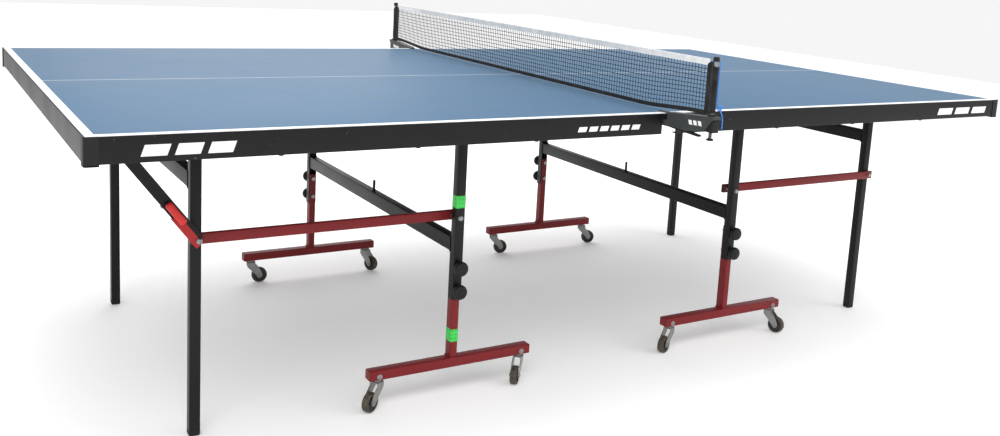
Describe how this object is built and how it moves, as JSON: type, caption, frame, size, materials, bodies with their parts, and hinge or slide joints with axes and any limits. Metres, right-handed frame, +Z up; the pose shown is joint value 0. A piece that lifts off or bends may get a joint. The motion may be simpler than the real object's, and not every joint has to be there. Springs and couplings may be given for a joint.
{
  "type": "table tennis table",
  "caption": "Table tennis table in two folding halves on caster bases, with linked legs, a latched brace and a clamp-on net.",
  "frame": {"origin": "on the floor, under the middle of the net line", "axes": "+X along the table, +Y across the table and away from the latch side, +Z up"},
  "size_m": [2.743, 1.8696, 0.92],
  "materials": {
    "board_blue": "matt blue playing surface on particle board, with white lines",
    "steel_black": "black powder coat",
    "steel_red": "dark red powder coat",
    "latch_red": "bright red coating",
    "plastic_black": "moulded black plastic",
    "zinc": "zinc plated",
    "wheel_black": "hard black tread, worn brown",
    "clamp_grey": "dark grey coating",
    "net_black": "knotted net and woven bands",
    "tape_white": "woven white band",
    "cord_blue": "braided blue cord"
  },
  "bodies": {
    "right_frame": {"right_posts": "steel_black", "right_post_bolts": "zinc"},
    "left_frame": {"left_posts": "steel_black", "left_post_bolts": "zinc"},
    "left_top": {"left_board": "board_blue", "left_edge_profiles": "steel_black", "left_corner_caps": "plastic_black", "left_rails": "steel_black", "net_clamps": "clamp_grey", "net_posts": "zinc", "netting": "net_black", "net_tape": "tape_white", "tension_cord": "cord_blue"},
    "right_top": {"right_board": "board_blue", "right_edge_profiles": "steel_black", "right_corner_caps": "plastic_black", "right_rails": "steel_black"},
    "left_legs": {"left_legs": "steel_black", "left_feet": "plastic_black", "left_leg_bolts": "zinc"},
    "left_bar": {"left_link_bar": "steel_red"},
    "right_legs": {"right_legs": "steel_black", "right_feet": "plastic_black", "right_leg_bolts": "zinc"},
    "right_bar": {"right_link_bar": "steel_red"},
    "brace": {"brace": "steel_black"},
    "latch": {"latch_sleeve": "latch_red"},
    "left_near_base": {"left_near_base": "steel_red"},
    "left_near_lower_knob": {"left_near_lower_knob": "plastic_black"},
    "left_near_upper_knob": {"left_near_upper_knob": "plastic_black"},
    "left_far_base": {"left_far_base": "steel_red"},
    "left_far_lower_knob": {"left_far_lower_knob": "plastic_black"},
    "left_far_upper_knob": {"left_far_upper_knob": "plastic_black"},
    "right_near_base": {"right_near_base": "steel_red"},
    "right_near_lower_knob": {"right_near_lower_knob": "plastic_black"},
    "right_near_upper_knob": {"right_near_upper_knob": "plastic_black"},
    "right_far_base": {"right_far_base": "steel_red"},
    "right_far_lower_knob": {"right_far_lower_knob": "plastic_black"},
    "right_far_upper_knob": {"right_far_upper_knob": "plastic_black"},
    "left_near_outer_fork": {"left_near_outer_fork": "zinc"},
    "left_near_outer_wheel": {"left_near_outer_wheel": "wheel_black"},
    "left_near_inner_fork": {"left_near_inner_fork": "zinc"},
    "left_near_inner_wheel": {"left_near_inner_wheel": "wheel_black"},
    "left_far_outer_fork": {"left_far_outer_fork": "zinc"},
    "left_far_outer_wheel": {"left_far_outer_wheel": "wheel_black"},
    "left_far_inner_fork": {"left_far_inner_fork": "zinc"},
    "left_far_inner_wheel": {"left_far_inner_wheel": "wheel_black"},
    "right_near_inner_fork": {"right_near_inner_fork": "zinc"},
    "right_near_inner_wheel": {"right_near_inner_wheel": "wheel_black"},
    "right_near_outer_fork": {"right_near_outer_fork": "zinc"},
    "right_near_outer_wheel": {"right_near_outer_wheel": "wheel_black"},
    "right_far_inner_fork": {"right_far_inner_fork": "zinc"},
    "right_far_inner_wheel": {"right_far_inner_wheel": "wheel_black"},
    "right_far_outer_fork": {"right_far_outer_fork": "zinc"},
    "right_far_outer_wheel": {"right_far_outer_wheel": "wheel_black"},
    "near_lever": {"near_clamp_lever": "plastic_black"},
    "near_screw": {"near_height_screw": "plastic_black"},
    "far_lever": {"far_clamp_lever": "plastic_black"},
    "far_screw": {"far_height_screw": "plastic_black"}
  },
  "joints": [
    {"name": "halves_apart", "type": "slide", "parent": "right_frame", "child": "left_frame", "axis": [-1, 0, 0], "range_m": [0, 0.32]},
    {"name": "left_fold", "type": "hinge", "parent": "left_frame", "child": "left_top", "pos_m": [-0.436, 0, 0.73], "axis": [0, 1, 0], "range_deg": [0, 90]},
    {"name": "left_legs_swing", "type": "hinge", "parent": "left_top", "child": "left_legs", "pos_m": [-1.072, 0, 0.73], "axis": [0, 1, 0], "range_deg": [-90, 0]},
    {"name": "left_bar_swing", "type": "hinge", "parent": "left_frame", "child": "left_bar", "pos_m": [-0.466, 0, 0.471], "axis": [0, 1, 0], "range_deg": [0, 90]},
    {"name": "right_fold", "type": "hinge", "parent": "right_frame", "child": "right_top", "pos_m": [0.436, 0, 0.73], "axis": [0, -1, 0], "range_deg": [0, 90]},
    {"name": "right_legs_swing", "type": "hinge", "parent": "right_top", "child": "right_legs", "pos_m": [1.072, 0, 0.73], "axis": [0, -1, 0], "range_deg": [-90, 0]},
    {"name": "right_bar_swing", "type": "hinge", "parent": "right_frame", "child": "right_bar", "pos_m": [0.466, 0, 0.471], "axis": [0, -1, 0], "range_deg": [0, 90]},
    {"name": "brace_fold", "type": "hinge", "parent": "left_top", "child": "brace", "pos_m": [-1.298, 0, 0.73], "axis": [0, 1, 0], "range_deg": [-53, 0]},
    {"name": "latch_pull", "type": "slide", "parent": "brace", "child": "latch", "axis": [-0.6034, 0, 0.7974], "range_m": [0, 0.02]},
    {"name": "left_near_base_height", "type": "slide", "parent": "left_frame", "child": "left_near_base", "axis": [0, 0, 1], "range_m": [0, 0.02]},
    {"name": "left_near_lower_knob_turn", "type": "hinge", "parent": "left_near_base", "child": "left_near_lower_knob", "pos_m": [-0.466, -0.55, 0.282], "axis": [0, -1, 0], "range_deg": [-180, 180]},
    {"name": "left_near_upper_knob_turn", "type": "hinge", "parent": "left_near_base", "child": "left_near_upper_knob", "pos_m": [-0.466, -0.55, 0.343], "axis": [0, -1, 0], "range_deg": [-180, 180]},
    {"name": "left_far_base_height", "type": "slide", "parent": "left_frame", "child": "left_far_base", "axis": [0, 0, 1], "range_m": [0, 0.02]},
    {"name": "left_far_lower_knob_turn", "type": "hinge", "parent": "left_far_base", "child": "left_far_lower_knob", "pos_m": [-0.466, 0.55, 0.282], "axis": [0, 1, 0], "range_deg": [-180, 180]},
    {"name": "left_far_upper_knob_turn", "type": "hinge", "parent": "left_far_base", "child": "left_far_upper_knob", "pos_m": [-0.466, 0.55, 0.343], "axis": [0, 1, 0], "range_deg": [-180, 180]},
    {"name": "right_near_base_height", "type": "slide", "parent": "right_frame", "child": "right_near_base", "axis": [0, 0, 1], "range_m": [0, 0.02]},
    {"name": "right_near_lower_knob_turn", "type": "hinge", "parent": "right_near_base", "child": "right_near_lower_knob", "pos_m": [0.466, -0.55, 0.282], "axis": [0, -1, 0], "range_deg": [-180, 180]},
    {"name": "right_near_upper_knob_turn", "type": "hinge", "parent": "right_near_base", "child": "right_near_upper_knob", "pos_m": [0.466, -0.55, 0.343], "axis": [0, -1, 0], "range_deg": [-180, 180]},
    {"name": "right_far_base_height", "type": "slide", "parent": "right_frame", "child": "right_far_base", "axis": [0, 0, 1], "range_m": [0, 0.02]},
    {"name": "right_far_lower_knob_turn", "type": "hinge", "parent": "right_far_base", "child": "right_far_lower_knob", "pos_m": [0.466, 0.55, 0.282], "axis": [0, 1, 0], "range_deg": [-180, 180]},
    {"name": "right_far_upper_knob_turn", "type": "hinge", "parent": "right_far_base", "child": "right_far_upper_knob", "pos_m": [0.466, 0.55, 0.343], "axis": [0, 1, 0], "range_deg": [-180, 180]},
    {"name": "left_near_outer_swivel", "type": "hinge", "parent": "left_near_base", "child": "left_near_outer_fork", "pos_m": [-0.67, -0.525, 0.07], "axis": [0, 0, 1], "continuous": true},
    {"name": "left_near_outer_roll", "type": "hinge", "parent": "left_near_outer_fork", "child": "left_near_outer_wheel", "pos_m": [-0.69375, -0.53984, 0.025], "axis": [0.5299, -0.848, 0], "continuous": true},
    {"name": "left_near_inner_swivel", "type": "hinge", "parent": "left_near_base", "child": "left_near_inner_fork", "pos_m": [-0.262, -0.525, 0.07], "axis": [0, 0, 1], "continuous": true},
    {"name": "left_near_inner_roll", "type": "hinge", "parent": "left_near_inner_fork", "child": "left_near_inner_wheel", "pos_m": [-0.28145, -0.54514, 0.025], "axis": [0.7193, -0.6947, 0], "continuous": true},
    {"name": "left_far_outer_swivel", "type": "hinge", "parent": "left_far_base", "child": "left_far_outer_fork", "pos_m": [-0.67, 0.525, 0.07], "axis": [0, 0, 1], "continuous": true},
    {"name": "left_far_outer_roll", "type": "hinge", "parent": "left_far_outer_fork", "child": "left_far_outer_wheel", "pos_m": [-0.64243, 0.52014, 0.025], "axis": [0.1736, 0.9848, 0], "continuous": true},
    {"name": "left_far_inner_swivel", "type": "hinge", "parent": "left_far_base", "child": "left_far_inner_fork", "pos_m": [-0.262, 0.525, 0.07], "axis": [0, 0, 1], "continuous": true},
    {"name": "left_far_inner_roll", "type": "hinge", "parent": "left_far_inner_fork", "child": "left_far_inner_wheel", "pos_m": [-0.24973, 0.49983, 0.025], "axis": [0.8988, 0.4384, 0], "continuous": true},
    {"name": "right_near_inner_swivel", "type": "hinge", "parent": "right_near_base", "child": "right_near_inner_fork", "pos_m": [0.262, -0.525, 0.07], "axis": [0, 0, 1], "continuous": true},
    {"name": "right_near_inner_roll", "type": "hinge", "parent": "right_near_inner_fork", "child": "right_near_inner_wheel", "pos_m": [0.23623, -0.53594, 0.025], "axis": [0.3907, -0.9205, 0], "continuous": true},
    {"name": "right_near_outer_swivel", "type": "hinge", "parent": "right_near_base", "child": "right_near_outer_fork", "pos_m": [0.67, -0.525, 0.07], "axis": [0, 0, 1], "continuous": true},
    {"name": "right_near_outer_roll", "type": "hinge", "parent": "right_near_outer_fork", "child": "right_near_outer_wheel", "pos_m": [0.68049, -0.55096, 0.025], "axis": [0.9272, 0.3746, 0], "continuous": true},
    {"name": "right_far_inner_swivel", "type": "hinge", "parent": "right_far_base", "child": "right_far_inner_fork", "pos_m": [0.262, 0.525, 0.07], "axis": [0, 0, 1], "continuous": true},
    {"name": "right_far_inner_roll", "type": "hinge", "parent": "right_far_inner_fork", "child": "right_far_inner_wheel", "pos_m": [0.28892, 0.51728, 0.025], "axis": [0.2756, 0.9613, 0], "continuous": true},
    {"name": "right_far_outer_swivel", "type": "hinge", "parent": "right_far_base", "child": "right_far_outer_fork", "pos_m": [0.67, 0.525, 0.07], "axis": [0, 0, 1], "continuous": true},
    {"name": "right_far_outer_roll", "type": "hinge", "parent": "right_far_outer_fork", "child": "right_far_outer_wheel", "pos_m": [0.69596, 0.51451, 0.025], "axis": [0.3746, 0.9272, 0], "continuous": true},
    {"name": "near_lever_open", "type": "hinge", "parent": "left_top", "child": "near_lever", "pos_m": [0, -0.748, 0.735], "axis": [1, 0, 0], "range_deg": [0, 60]},
    {"name": "near_screw_turn", "type": "hinge", "parent": "left_top", "child": "near_screw", "pos_m": [0, -0.915, 0.73], "axis": [0, 0, 1], "range_deg": [-180, 180]},
    {"name": "far_lever_open", "type": "hinge", "parent": "left_top", "child": "far_lever", "pos_m": [0, 0.748, 0.735], "axis": [-1, 0, 0], "range_deg": [0, 60]},
    {"name": "far_screw_turn", "type": "hinge", "parent": "left_top", "child": "far_screw", "pos_m": [0, 0.915, 0.73], "axis": [0, 0, 1], "range_deg": [-180, 180]}
  ],
  "couplings": [
    {"joint": "left_legs_swing", "follows": "left_fold", "ratio": -1},
    {"joint": "left_bar_swing", "follows": "left_fold", "ratio": 1},
    {"joint": "right_legs_swing", "follows": "right_fold", "ratio": -1},
    {"joint": "right_bar_swing", "follows": "right_fold", "ratio": 1},
    {"joint": "halves_apart", "follows": "left_fold", "m_per_rad": 0.2},
    {"joint": "brace_fold", "follows": "left_fold", "ratio": -0.585}
  ]
}
